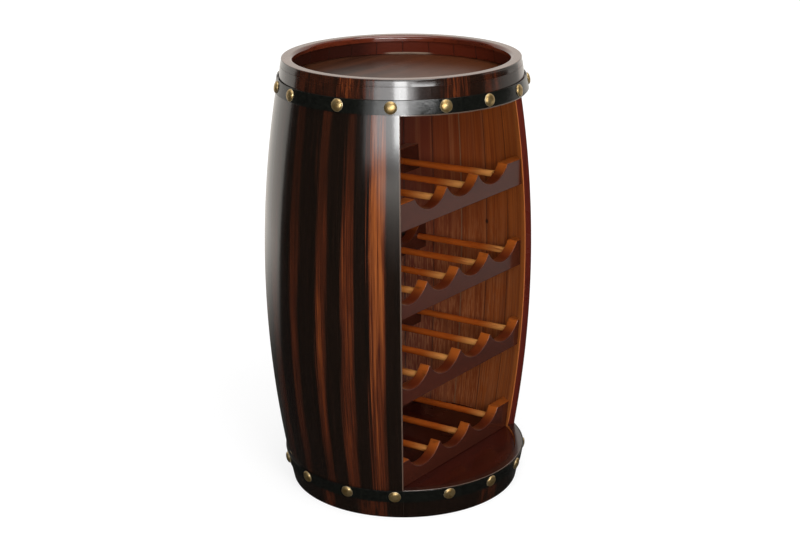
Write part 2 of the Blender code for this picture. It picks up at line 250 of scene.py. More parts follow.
def addNode(tree, kind, inputs=None, **settings):
    # a shader node with its settings and inputs; gives its outputs under their names and their numbers
    made = tree.nodes.new(f"ShaderNode{kind}")
    for key, value in settings.items():
        setattr(made, key, value)
    for key, value in (inputs or {}).items():
        feed(made.inputs[key], value)
    signals = [Signal(output) for output in made.outputs]
    return {signal.socket.name: signal for signal in signals} | dict(enumerate(signals))


def calc(operation, *values, kind="Math"):
    # a math node beside the signals among its values
    tree = next(value.socket.id_data for value in values if isinstance(value, Signal))
    return addNode(tree, kind, dict(enumerate(values)), operation=operation)[0]


def length(first, second):
    # sqrt(a^2 + b^2)
    return calc("SQRT", first * first + second * second)


def between(value, low, high, toLow=0.0, toHigh=1.0, smooth=True):
    # low to high becomes toLow to toHigh, eased at both ends or straight
    inputs = {"Value": value, "From Min": low, "From Max": high, "To Min": toLow, "To Max": toHigh}
    kind = "SMOOTHSTEP" if smooth else "LINEAR"
    return addNode(value.socket.id_data, "MapRange", inputs, interpolation_type=kind)[0]


def blendColour(mask, first, second):
    return addNode(mask.socket.id_data, "Mix", {0: mask, 6: first, 7: second}, data_type="RGBA")[2]


def noise(place, output="Fac", **inputs):
    return addNode(place.socket.id_data, "TexNoise", {"Vector": place} | inputs)[output]


def objectPlace(tree):
    return addNode(tree, "TexCoord")["Object"]


def axisPlace(tree):
    # x and y from the barrel's axis, and z
    moved = calc("ADD", objectPlace(tree), (0, -barrel["axisY"], 0), kind="VectorMath")
    return addNode(tree, "SeparateXYZ", {0: moved})


def roundTheAxis(place):
    # degrees round the axis, 0 in front, counted towards +x
    return calc("ARCTAN2", place["X"], place["Y"] * -1.0) * (180 / math.pi)


def newGroup(name, numbers, **outputs):
    # a shader node group with number inputs and their defaults, and named outputs
    tree = bpy.data.node_groups.new(name, "ShaderNodeTree")
    for key, value in numbers.items():
        socket = tree.interface.new_socket(key, in_out="INPUT", socket_type="NodeSocketFloat")
        socket.default_value = value
    for key, kind in outputs.items():
        tree.interface.new_socket(key, in_out="OUTPUT", socket_type=f"NodeSocket{kind}")
    given = tree.nodes.new("NodeGroupInput").outputs
    result = tree.nodes.new("NodeGroupOutput").inputs
    return tree, {key: Signal(given[key]) for key in numbers}, result


def useGroup(tree, group, **numbers):
    return addNode(tree, "Group", numbers, node_tree=group)


def makeStaveGrain():
    # wood fibres that follow the staves: noise on (direction x rings, z x stretch), which has no seam
    tree, given, result = newGroup("staveGrain", {"Rings": 60.0, "Stretch": 4.0, "Seed": 0.0},
                                   Fibre="Float", Figure="Float", Cloud="Float")
    place = axisPlace(tree)
    flat = addNode(tree, "CombineXYZ", {"X": place["X"], "Y": place["Y"]})[0]
    around = calc("NORMALIZE", flat, kind="VectorMath")
    scaled = addNode(tree, "VectorMath", {0: around, "Scale": given["Rings"]}, operation="SCALE")[0]
    parts = addNode(tree, "SeparateXYZ", {0: scaled})
    raised = place["Z"] * given["Stretch"] + given["Seed"]
    spot = addNode(tree, "CombineXYZ", {"X": parts["X"], "Y": parts["Y"], "Z": raised})[0]
    feed(result["Fibre"], noise(spot, Scale=3.2, Detail=6.0, Roughness=0.72))
    feed(result["Figure"], noise(spot, Scale=0.8, Detail=4.0, Roughness=0.55))
    feed(result["Cloud"], noise(spot, Scale=0.22, Detail=3.0, Roughness=0.5))
    return tree


# no joint is drawn within jambZone of the jambs: there the nearest one counts as farAway
layoutLook = dict(toneAndShadeStep=0.82, countFrom=-10.0, countTo=350.0, jambZone=3.0, farAway=9.0)


def makeStaveLayout(look):
    # the staves seen from inside: degrees to the nearest joint, and a tone that falls a little each time:
    # partly the staves' own tones, partly painted shade darkening stave by stave onward from the jamb at
    # positive azimuth, until it starts again
    tree, given, result = newGroup("staveLayout", {"Phase": 0.6}, Joint="Float", Tone="Float")
    degrees = roundTheAxis(axisPlace(tree))
    isShort = calc("LESS_THAN", abs(degrees), halfOpening)
    onward = calc("WRAP", degrees - (halfOpening + barrel["staveTurn"]), look["countTo"], look["countFrom"])
    parts = []
    for angle, width in ((onward, staveAngle), (degrees + halfOpening, shortAngle)):
        count = angle / width
        number = calc("FLOOR", calc("MAXIMUM", count, 0.01))
        nearest = abs(count - calc("ROUND", count))
        parts.append((nearest * width, calc("FRACT", number * look["toneAndShadeStep"] + given["Phase"])))
    far = calc("LESS_THAN", abs(onward), look["jambZone"]) * look["farAway"]
    jointWhole = calc("MAXIMUM", parts[0][0], far)
    for key, whole, short in (("Joint", jointWhole, parts[1][0]), ("Tone", parts[0][1], parts[1][1])):
        feed(result[key], whole + (short - whole) * isShort)
    return tree


def makeBoardGrain():
    # wood fibres along a board: noise on (x, y, z) times a stretch for each direction
    numbers = {"AlongX": 4.0, "AlongY": 60.0, "AlongZ": 60.0, "Seed": 0.0}
    tree, given, result = newGroup("boardGrain", numbers, Fibre="Float", Figure="Float")
    parts = addNode(tree, "SeparateXYZ", {0: objectPlace(tree)})
    spot = addNode(tree, "CombineXYZ", {axis: parts[axis] * given[f"Along{axis}"] for axis in "XYZ"})[0]
    seeded = calc("ADD", spot, given["Seed"], kind="VectorMath")
    feed(result["Fibre"], noise(seeded, Scale=4.0, Detail=6.0, Roughness=0.7, Distortion=0.3))
    feed(result["Figure"], noise(seeded, Scale=0.9, Detail=3.0))
    return tree


def makeLacquer():
    # brushed lacquer: a faint orange peel in the normal, and a gloss that varies a little
    tree, given, result = newGroup("lacquerCoat", {"Peel": 0.1, "Size": 350.0, "Gloss": 0.2, "Spread": 0.1},
                                   Roughness="Float", Normal="Vector")
    place = objectPlace(tree)
    height = noise(place, Scale=given["Size"], Detail=2.0) * 0.3 + noise(place, Scale=28.0, Detail=3.0)
    bump = addNode(tree, "Bump", {"Strength": given["Peel"], "Distance": 0.0012, "Height": height})[0]
    feed(result["Normal"], bump)
    patches = noise(place, Scale=14.0, Detail=5.0)
    feed(result["Roughness"], given["Gloss"] + (patches - 0.5) * given["Spread"])
    return tree


staveGrain, staveLayout = makeStaveGrain(), makeStaveLayout(layoutLook)
boardGrain, lacquerCoat = makeBoardGrain(), makeLacquer()


def newMaterial(name, **values):
    # a Principled material with these inputs set; gives its tree and the inputs too
    made = bpy.data.materials.new(name)
    made.use_nodes = True
    surface = made.node_tree.nodes["Principled BSDF"].inputs
    for key, value in values.items():
        surface[key.replace("_", " ")].default_value = value
    return made, made.node_tree, surface


def connect(surface, colour, finish):
    feed(surface["Base Color"], colour)
    for key in ("Roughness", "Normal"):
        feed(surface[key], finish[key])


# Materials

# Streaks and patches: azimuth, half width in degrees, strength; the patches are on the collar and on the foot
# below the lower hoop. Ranges: two ends, in metres, degrees or noise, and what each end gives (or 0 and 1).
outsideLook = dict(
    ground=paint(14, 9, 6), fibre=paint(30, 18, 12), warm=paint(74, 32, 15), streak=paint(140, 75, 32),
    # the pale arris colour paints a highlight along the outer edge beside each jamb
    arrisHighlight=paint(112, 92, 80), gloss=0.15, jambStreak=[(-63.6, 3.5, 1.02)],
    streaks=[(-74.6, 2.6, 0.64), (-87.0, 2.8, 0.62), (-101.8, 2.9, 0.42), (-117, 4.0, 0.4),
             (-133, 4.5, 0.6), (-149, 3.4, 0.45), (-166, 4.6, 0.7), (176, 3.4, 0.5), (161, 4.2, 0.7),
             (146, 3.2, 0.45), (130, 4.6, 0.75), (113, 3.6, 0.5), (98, 4.2, 0.7), (82, 3.2, 0.5),
             (66, 4.4, 0.8)],
    collarPatches=[(-98, 14, 0.18), (-78.5, 4, 0.4), (-69, 6, 0.22), (-28, 7, 0.3), (-8, 6, 0.22),
                   (24, 8, 0.3), (63, 7, 0.4), (107, 9, 0.3), (158, 6, 0.4), (-148, 8, 0.3)],
    footPatches=[(-93, 4, 0.2), (-68, 8, 0.2), (-9, 6, 0.2), (31, 8, 0.2), (88, 7, 0.25), (141, 9, 0.2),
                 (-140, 8, 0.2)],
    drift=6.0, raggedness=5.5, lean=(0.2, 0.45, 1.8, 0.0), streakFoot=(0.0, 0.24, 0.4, 1.0),
    streakHead=(0.62, 0.38, 0.4, 1.0), jambFoot=(0.34, 0.5, 0.86, 1.16), jambHead=(0.62, 0.52, 0.6, 1.0),
    threads=(0.36, 0.62, 0.62, 1.0), breaks=(0.38, 0.6, 0.66, 1.0), collarEdge=(0.66, 0.665),
    footEdge=(0.04, 0.035), patchFlecks=(0.38, 0.6, 0.35, 1.6), fibreShade=(0.32, 0.64, 0.5, 1.0),
    fibreTone=(0.42, 0.68), toWarm=(0.04, 0.42), toStreak=(0.36, 0.9), collarLift=0.06,
    jambArrisHighlight=(halfOpening + 0.6, halfOpening + 0.4, 0.0, 0.55),
)


def patchMask(degrees, patches):
    # the strongest of several soft patches round the axis
    mask, core, fringe = 0.0, 0.5, 1.3
    for azimuth, half, amount in patches:
        edge = between(abs(degrees - azimuth), half * core, half * fringe, amount, 0.0)
        mask = calc("MAXIMUM", mask, edge)
    return mask


def makeOutsideLacquer(look):
    # nearly black lacquer, rubbed thin in soft streaks of warm wood, the strongest beside the left jamb; the
    # collar and the foot have patches of their own; a painted highlight runs down the outer edge beside each
    # jamb
    material, tree, surface = newMaterial("outsideLacquer", Coat_Weight=0.4, Coat_Roughness=0.1)
    grain = useGroup(tree, staveGrain, Rings=90.0, Stretch=2.5)
    soft = useGroup(tree, staveGrain, Rings=45.0, Stretch=18.0, Seed=5.0)
    fleck = useGroup(tree, staveGrain, Rings=60.0, Stretch=30.0, Seed=9.0)
    lacquer = useGroup(tree, lacquerCoat, Peel=0.1, Size=300.0, Gloss=look["gloss"], Spread=0.08)
    place = axisPlace(tree)
    degrees, height = roundTheAxis(place), place["Z"]
    ragged = (grain["Figure"] - 0.5) * look["raggedness"]
    drifted = degrees + (soft["Cloud"] - 0.5) * look["drift"] + ragged
    leaning = drifted + between(height, *look["lean"], smooth=False)
    rising = between(height, *look["jambFoot"]) * between(height, *look["jambHead"])
    besideJamb = patchMask(drifted, look["jambStreak"]) * rising
    others = patchMask(leaning, look["streaks"]) * between(height, *look["streakHead"])
    foot = between(height, *look["streakFoot"], smooth=False)
    streaks = calc("MAXIMUM", besideJamb, others) * foot
    threads = between(grain["Figure"], *look["threads"])
    body = streaks * (threads * between(fleck["Cloud"], *look["breaks"]))
    onCollar, onFoot = between(height, *look["collarEdge"]), between(height, *look["footEdge"])
    uneven = degrees + ragged
    collar, footing = patchMask(uneven, look["collarPatches"]), patchMask(uneven, look["footPatches"])
    flecked = (collar * onCollar + footing * onFoot) * between(fleck["Figure"], *look["patchFlecks"])
    onBody = 1.0 - (onCollar + onFoot)
    rubbed = (body * onBody + flecked) * between(grain["Fibre"], *look["fibreShade"])
    base = blendColour(between(grain["Fibre"], *look["fibreTone"]), look["ground"], look["fibre"])
    lifted = blendColour(onCollar * look["collarLift"], base, look["warm"])
    warmed = blendColour(between(rubbed, *look["toWarm"], smooth=False), lifted, look["warm"])
    streaked = blendColour(between(rubbed, *look["toStreak"], smooth=False), warmed, look["streak"])
    # a painted highlight down the outer edge beside each jamb, on the body only
    wornOrHighlit = blendColour(between(abs(degrees), *look["jambArrisHighlight"]) * onBody, streaked, look["arrisHighlight"])
    connect(surface, wornOrHighlit, lacquer)
    return material


# Knots: azimuth, height, size. The ranges are as above.
insideLook = dict(
    dark=paint(90, 31, 12), light=paint(166, 88, 36), pale=paint(156, 98, 62), fibre=paint(66, 26, 11),
    joint=paint(46, 18, 9), band=paint(92, 33, 16), bandShade=paint(38, 13, 7), seam=paint(122, 84, 58),
    edge=paint(186, 106, 48), trayEdgeGlint=paint(160, 138, 120), knot=paint(30, 12, 7), toneCurve=1.8,
    wornHeight=(0.5, 0.26, 0.0, 0.75), wornFleck=(0.42, 0.62), clouds=(0.5, 0.72, 0.0, 0.4),
    figures=(0.42, 0.64, 0.0, 0.55), fibres=(0.5, 0.72, 0.0, 0.55), jambEdgeHighlight=(59.5, 56.8, 0.0, 0.7),
    bandTurn=(134.0, 152.0, 0.0, 0.8), bandFoot=(0.662, 0.668), jointLine=(0.12, 0.5, 0.75, 0.0),
    seamAt=98.0, seamLine=(0.5, 0.15), seamHead=(0.665, 0.66, 0.0, 0.8), glintAt=123.0,
    glintEnds=(8.0, 14.0, 0.9, 0.0), glintTop=(0.678, 0.677), glintFoot=(0.672, 0.675),
    knots=[(83.9, 0.388, 1.0), (126.8, 0.349, 1.0), (170.0, 0.16, 0.8), (231.0, 0.47, 0.9)],
    knotWidth=0.85, knotHeight=0.0048, knotEdge=(0.5, 1.2, 1.0, 0.0),
)


def makeInsideWood(look):
    # oiled wood of the staves' inner side, each stave in a tone of its own that also falls stave by stave as
    # painted shade, with joints and a few knots; worn pale low down; a painted highlight along the jambs; the
    # band above the tray is stained dark red, with a painted pale highlight along part of its foot
    material, tree, surface = newMaterial("insideWood", Specular_IOR_Level=0.35)
    grain = useGroup(tree, staveGrain, Rings=90.0, Stretch=5.0, Seed=7.0)
    fleck = useGroup(tree, staveGrain, Rings=120.0, Stretch=60.0, Seed=3.0)
    layout = useGroup(tree, staveLayout, Phase=0.97)
    lacquer = useGroup(tree, lacquerCoat, Peel=0.15, Size=500.0, Gloss=0.42, Spread=0.2)
    place = axisPlace(tree)
    degrees, height = roundTheAxis(place), place["Z"]
    around = calc("WRAP", degrees, 360.0, 0.0)
    wornOrHighlit = between(height, *look["wornHeight"]) * between(fleck["Figure"], *look["wornFleck"])
    clouded = calc("MAXIMUM", wornOrHighlit, between(grain["Cloud"], *look["clouds"]))
    band = blendColour(between(around, *look["bandTurn"]), look["band"], look["bandShade"])
    seam = between(abs(degrees - look["seamAt"]), *look["seamLine"]) * between(height, *look["seamHead"])
    # a painted pale highlight at the foot of the band where it meets the tray, round part of the back
    atFoot = between(height, *look["glintTop"]) * between(height, *look["glintFoot"])
    trayEdgeGlint = between(abs(degrees - look["glintAt"]), *look["glintEnds"]) * atFoot
    spots = 0.0
    for azimuth, middle, size in look["knots"]:
        across = (around - azimuth) / (look["knotWidth"] * size)
        along = (height - middle) / (look["knotHeight"] * size)
        spots = calc("MAXIMUM", spots, between(length(across, along), *look["knotEdge"]))
    colour = blendColour(layout["Tone"] ** look["toneCurve"], look["dark"], look["light"])
    for mask, layer in (
        (clouded, look["pale"]),
        (between(grain["Figure"], *look["figures"]), look["dark"]),
        (between(grain["Fibre"], *look["fibres"]), look["fibre"]),
        # a painted highlight on the inner wall along each jamb
        (between(abs(degrees), *look["jambEdgeHighlight"]), look["edge"]),
        (between(height, *look["bandFoot"]), band),
        (between(layout["Joint"], *look["jointLine"]), look["joint"]),
        (seam, look["seam"]),
        (trayEdgeGlint, look["trayEdgeGlint"]),
        (spots, look["knot"]),
    ):
        colour = blendColour(mask, colour, layer)
    connect(surface, colour, lacquer)
    return material


# Colours: ground, light wood, dark fibres. Along: noise cells along x, y and z. warmSide: the direction to a
# warmer side, where its warmth starts and where it is full, in metres from the axis, and its colour.
boardDefaults = dict(peel=0.08, size=300.0, coat=0.0, shine=0.5, figures=(0.3, 0.7),
                     fibres=(0.5, 0.75, 0.0, 0.8), warmth=0.85)
boardLooks = dict(
    cutEdgeLacquer=dict(colours=((68, 16, 9), (84, 25, 12), (44, 12, 7)), along=(40, 40, 5), seed=1.0,
                        gloss=0.28, shine=0.3),
    footEdgeLacquer=dict(colours=((40, 20, 16), (50, 25, 19), (30, 14, 11)), along=(40, 40, 5), seed=1.0,
                         gloss=0.24, coat=0.3),
    rimTopLacquer=dict(colours=((84, 50, 34), (102, 64, 44), (60, 34, 22)), along=(14, 14, 40), seed=2.0,
                       size=250.0, gloss=0.2, coat=0.4),
    rimLacquer=dict(colours=((70, 26, 14), (96, 38, 20), (42, 14, 8)), along=(14, 14, 40), seed=2.0,
                    size=250.0, gloss=0.14, coat=0.4),
    trayWood=dict(colours=((38, 20, 12), (78, 45, 28), (24, 12, 7)), along=(3, 50, 60), seed=3.0, peel=0.12,
                  size=250.0, gloss=0.3, shine=0.13,
                  warmSide=((0.6004, -0.7997, 0), -0.1, 0.06, (82, 45, 25))),
    floorLacquer=dict(colours=((46, 13, 8), (58, 18, 10), (34, 9, 6)), along=(5, 50, 50), seed=4.0, peel=0.5,
                      size=420.0, gloss=0.26, coat=0.15, shine=0.4),
    railLacquer=dict(colours=((60, 26, 17), (65, 28, 18), (54, 23, 15)), along=(5, 60, 60), seed=5.0,
                     peel=0.05, gloss=0.22, coat=0.08, shine=0.4),
    # the rods' pale warm front ends are painted light, where light through the opening falls on them
    rodWood=dict(colours=((150, 68, 20), (172, 84, 28), (112, 44, 13)), along=(60, 5, 60), seed=8.0,
                 peel=0.12, size=400.0, gloss=0.26, coat=0.3,
                 warmSide=((0, -1, 0), 0.035, 0.105, (232, 166, 92))),
)


def makeBoardMaterial(name, look):
    # lacquered wood along one direction, from its ground colour to its light and dark fibres; one side can be
    # warmer, by how far a place lies towards it: on the rods' front ends and the scallop tips this is painted
    # light
    look = boardDefaults | look
    material, tree, surface = newMaterial(name, Coat_Weight=look["coat"], Coat_Roughness=0.1,
                                          Specular_IOR_Level=look["shine"])
    ground, light, dark = (paint(*colour) for colour in look["colours"])
    along = {f"Along{axis}": cells for axis, cells in zip("XYZ", look["along"])}
    grain = useGroup(tree, boardGrain, Seed=look["seed"], **along)
    coat = {"Peel": look["peel"], "Size": look["size"], "Gloss": look["gloss"], "Spread": 0.1}
    lacquer = useGroup(tree, lacquerCoat, **coat)
    colour = blendColour(between(grain["Figure"], *look["figures"]), ground, light)
    if "warmSide" in look:
        toward, start, full, warm = look["warmSide"]
        place = axisPlace(tree)
        aside = sum(place[axis] * share for axis, share in zip("XYZ", toward))
        colour = blendColour(between(aside, start, full, 0.0, look["warmth"]), colour, paint(*warm))
    colour = blendColour(between(grain["Fibre"], *look["fibres"]), colour, dark)
    connect(surface, colour, lacquer)
    return material


metalDefaults = dict(metallic=0.9, cloud=130.0, speck=700.0, bump=0.06, dent=0.0006, patches=(0.38, 0.66),
                     specks=(0.52, 0.7, 0.0, 0.6), glossRange=(0.3, 0.7))
metalLooks = dict(
    hoopSteel=dict(metallic=0.06, bright=paint(18, 19, 16), dark=paint(9, 10, 8), cloud=190.0, speck=420.0,
                   bump=0.2, gloss=0.125, matt=0.18),
    studBrass=dict(bright=paint(194, 168, 118), dark=paint(150, 122, 74), gloss=0.32, matt=0.42),
    # the brim in a paler brass than the dome: a painted highlight round each stud's edge
    studBrimHighlight=dict(metallic=0.7, bright=paint(206, 188, 152), dark=paint(166, 142, 104), gloss=0.3, matt=0.4),
)


def makeMetal(name, look):
    # metal with cloudy dark patches, and a gloss that varies with them
    look = metalDefaults | look
    material, tree, surface = newMaterial(name, Metallic=look["metallic"])
    place = objectPlace(tree)
    clouds = noise(place, Scale=look["cloud"], Detail=5.0, Roughness=0.6)
    specks = noise(place, Scale=look["speck"], Detail=3.0)
    ground = blendColour(between(clouds, *look["patches"]), look["bright"], look["dark"])
    colour = blendColour(between(specks, *look["specks"]), ground, look["dark"])
    bump = addNode(tree, "Bump", {"Strength": look["bump"], "Distance": look["dent"], "Height": clouds})[0]
    roughness = between(clouds, *look["glossRange"], look["gloss"], look["matt"])
    connect(surface, colour, {"Roughness": roughness, "Normal": bump})
    return material


outsideLacquer = makeOutsideLacquer(outsideLook)
insideWood = makeInsideWood(insideLook)
boards = {name: makeBoardMaterial(name, look) for name, look in boardLooks.items()}
metals = {name: makeMetal(name, look) for name, look in metalLooks.items()}
staveMaterials = [outsideLacquer, insideWood, boards["cutEdgeLacquer"]]
print("materials made")


# Staves

staveShape = dict(
    outsideRows=56, insideRows=48, collarRows=8, fewestRows=6, fewestInRun=3, columns=10, meanRadius=0.205,
    jointGap=0.00004, jointRound=0.0005, jambRound=0.0011, jambFade=0.0005, footRound=0.0012,
    cutRound=0.001, headRound=0.00006, plainEdge=2.4, grooves=[(0.0342, 0.0468), (0.6657, 0.6748)],
    grooveDepth=0.005,
)


def insideRun(high, low):
    # heights going down the inside, and the radius there, let in at each board's groove
    def wall(top, end):
        rows = int(staveShape["insideRows"] * (top - end) / (high - low))
        z = np.linspace(top, end, max(staveShape["fewestInRun"], rows))
        return pairs(roomRadius(z), z)

    runs, top = [], high
    for start, end in sorted(staveShape["grooves"], reverse=True):
        if low < start and end < high:
            groove = roomRadius((start + end) / 2) + staveShape["grooveDepth"]
            runs += [wall(top, end), pairs(groove, [end, start])]
            top = start
    return np.concatenate([*runs, wall(top, low)])


def staveSection(bottom, top, footRound, headRound):
    # closed outline in (r, z): a rounded foot, up the outside arc and collar, a rounded head, down the inside
    rows = int(staveShape["outsideRows"] * (top - bottom) / barrel["staveTop"])
    low, high, step = bottom + footRound, top - headRound, barrel["collarFoot"]
    z = np.linspace(low, min(high, step), max(staveShape["fewestRows"], rows))
    outside = [pairs(wallRadius(z), z)]
    if top > step:
        z = np.linspace(step, high, staveShape["collarRows"])
        outside.append(pairs(collarRadius(z), z))
    outerFoot = quarterRound((wallRadius(low) - footRound, low), footRound, -90)[:-1]
    outerHead = quarterRound((outside[-1][-1][0] - headRound, high), headRound, 0)[1:]
    innerHead = quarterRound((roomRadius(high) + headRound, high), headRound, 90)[:-1]
    inside = insideRun(high, low)
    innerFoot = quarterRound((roomRadius(low) + footRound, low), footRound, 180)[1:]
    outer = np.concatenate([outerFoot, *outside, outerHead])
    inner = np.concatenate([innerHead, inside, innerFoot])
    side = np.repeat([1, -1], [len(outer), len(inner)])
    pick = np.repeat([0, 2, 1, 2], [len(outer) - 1, len(innerHead) + 1, len(inside) - 1, len(innerFoot) + 1])
    return np.concatenate([outer, inner]), side, pick


def edgeColumns(size):
    # a quarter round seen from the edge: distance size (1 - sin t), depth size (1 - cos t); a plain column
    angle = np.linspace(np.pi / 2, 0, 6)
    distance = np.append(size * (1 - np.sin(angle)), staveShape["plainEdge"] * size)
    return distance, np.append(size * (1 - np.cos(angle)), 0.0)


def staveMesh(section, first, last, jamb=0):
    # the section at each column's azimuth; rounded edges go deeper into its inside by the columns' depth, and
    # at a jamb (-1 at the first edge, 1 at the last) into its outside too, beside the opening only
    outline, side, pick = section
    shape = staveShape
    gap = shape["jointGap"] / 2 / barrel["endRadius"]
    first, last = math.radians(first) + gap, math.radians(last) - gap
    startDistance, startDepth = edgeColumns(shape["jambRound" if jamb < 0 else "jointRound"])
    endDistance, endDepth = edgeColumns(shape["jambRound" if jamb > 0 else "jointRound"])
    scale = 1 / shape["meanRadius"]
    inner = np.linspace(first + startDistance[-1] * scale, last - endDistance[-1] * scale, shape["columns"])
    azimuth = np.concatenate([first + startDistance * scale, inner[1:-1], last - endDistance[::-1] * scale])
    plain = np.zeros(len(inner) - 2)
    depth = np.concatenate([startDepth, plain, endDepth[::-1]])
    outerDepth = np.concatenate([startDepth * (jamb < 0), plain, endDepth[::-1] * (jamb > 0)])
    radius, height = outline[None, :, 0], outline[None, :, 1]
    fade = shape["jambFade"]
    fades = [barrel[cut] + step for cut in ("openingFoot", "openingHead") for step in (-fade, fade)]
    beside = np.interp(height, fades, [0, 1, 1, 0]) if jamb else 1.0
    shift = np.where(side[None, :] > 0, -outerDepth[:, None], depth[:, None]) * beside
    points = turn(radius + shift, height, azimuth[:, None]).reshape(-1, 3)
    picks = [np.tile(pick, len(azimuth) - 1), np.array([2]), np.array([2])]
    return points, tubeFaces(len(azimuth), len(outline)), picks


footRound, cutRound, headRound = (staveShape[key] for key in ("footRound", "cutRound", "headRound"))
wholeSection = staveSection(0.0, barrel["staveTop"], footRound, headRound)
joints = [halfOpening + barrel["staveTurn"] + staveAngle * number for number in range(1, barrel["staves"])]
joints = [halfOpening, *joints, 360 - halfOpening]
for number in range(1, barrel["staves"] + 1):
    jamb = {1: -1, barrel["staves"]: 1}.get(number, 0)
    shape = staveMesh(wholeSection, joints[number - 1], joints[number], jamb)
    addPiece(f"stave{number:02d}", shape, [f"stave_{number:02d}"], staveMaterials)

starts = [shortAngle * number - halfOpening for number in range(barrel["shortStaves"])]
aboveSection = staveSection(barrel["openingHead"], barrel["staveTop"], cutRound, headRound)
for number, start in enumerate(starts, 1):
    shape = staveMesh(aboveSection, start, start + shortAngle)
    nodes = [f"top_short_stave_{number}"]
    addPiece(f"topShortStave{number}", shape, nodes, staveMaterials)

belowSection = staveSection(0.0, barrel["openingFoot"], cutRound, cutRound)
shape = joined([staveMesh(belowSection, start, start + shortAngle) for start in starts])
addPiece("bottomShortStaves", shape, ["bottom_short_staves"],
         [outsideLacquer, insideWood, boards["footEdgeLacquer"]])
print("staves made")


# Rim moulding, tray and floor board

rimShape = dict(low=0.6973, bore=0.170, innerRound=0.006, outerRound=0.0016, shoulder=0.002, ease=0.0012,
                steps=240, outerSteps=7, innerSteps=13, easeSteps=4, outsideFaces=6, topFaces=6)


def rimMesh(shape):
    # closed profile: up the outside, a small outer round, flat top, large inner round, down the bore
    low, top, bore = shape["low"], barrel["height"], shape["bore"]
    outer = barrel["endRadius"] - barrel["rimInset"]
    small, large, ease = shape["outerRound"], shape["innerRound"], shape["ease"]
    profile = np.concatenate([
        [[collarRadius(low), low], [outer, top - small - shape["shoulder"]]],
        quarterRound((outer - small, top - small), small, 0, shape["outerSteps"]),
        quarterRound((bore + large, top - large), large, 90, shape["innerSteps"]),
        quarterRound((bore + ease, low + ease), ease, 180, shape["easeSteps"]),
    ])
    points, faceSets, _ = turned(profile, shape["steps"])
    outside, flat = shape["outsideFaces"], shape["topFaces"]
    pick = np.repeat([0, 1, 2], [outside, flat, len(profile) - outside - flat])
    return points, faceSets, [np.tile(pick, shape["steps"])]


addPiece("rimMoulding", rimMesh(rimShape), ["rim_ring"],
         [outsideLacquer, boards["rimTopLacquer"], boards["rimLacquer"]])

boardShapes = dict(
    tray=dict(top=0.676, flat=0.1674, wallDrop=0.0015, thickness=0.010),
    floor=dict(top=0.0465, flat=0.17, wallDrop=0.0, thickness=0.012),
)
boardRings = [0.02, 0.05, 0.09, 0.13, 0.155]
tongue = dict(play=0.0006, ease=0.0008, steps=192, border=0.001)


def boardMesh(shape):
    # flat to a radius, then falling to the tongue that lies in the staves' groove, and flat below
    top, side, ease = shape["top"], shape["top"] - shape["wallDrop"], tongue["ease"]
    bottom = top - shape["thickness"]
    wall = roomRadius(top) - barrel["play"]
    middle = side - (shape["thickness"] - shape["wallDrop"]) / 2
    edge = roomRadius(middle) + staveShape["grooveDepth"] - tongue["play"]
    flat = np.array([*boardRings, shape["flat"] - tongue["border"], shape["flat"]])
    profile = np.concatenate([
        pairs(flat, top),
        [[wall, side], [edge - ease, side], [edge, side - ease]],
        [[edge, bottom + ease], [edge - ease, bottom]],
        pairs(boardRings[::-1], bottom),
    ])
    return turned(profile, tongue["steps"], closed=False)


for name, material in (("tray", "trayWood"), ("floor", "floorLacquer")):
    shape = boardMesh(boardShapes[name])
    addPiece(f"{name}Board", shape, [f"{name}_board"], [boards[material]])
print("rim and boards made")


# Hoops and studs

hoopShape = dict(width=0.0212, thickness=0.0019, ease=0.0004, easeShare=0.2, clearance=0.00035, steps=240,
                 feet=dict(top=0.6576, bottom=0.0304))
# offsets: degrees by which the stud at a rounded azimuth is off its even place
studShape = dict(count=15, turn=-10.0, radius=0.0098, height=0.0046, brim=0.0008, brimShare=0.6, lip=0.0001,
                 neck=0.0005, sink=0.0009, sides=28, domeSteps=9,
                 offsets=dict(top={-106: -5.4, -10: -2.0, 14: -2.6}, bottom={-82: 1.0, -34: 1.5, -10: 1.0}))


def hoopMesh(foot):
    # a thin flat band that leans with the staves; its four edges are eased by a share of its thickness
    head, ease, share = foot + hoopShape["width"], hoopShape["ease"], hoopShape["easeShare"]
    z = np.array([foot + ease, head - ease, head, head, head - ease, foot + ease, foot, foot])
    out = hoopShape["thickness"] * np.array([1, 1, 1 - share, share, 0, 0, share, 1 - share])
    lean = np.interp(z, [foot, head], [wallRadius(foot), wallRadius(head)])
    return turned(pairs(lean + hoopShape["clearance"] + out, z), hoopShape["steps"])


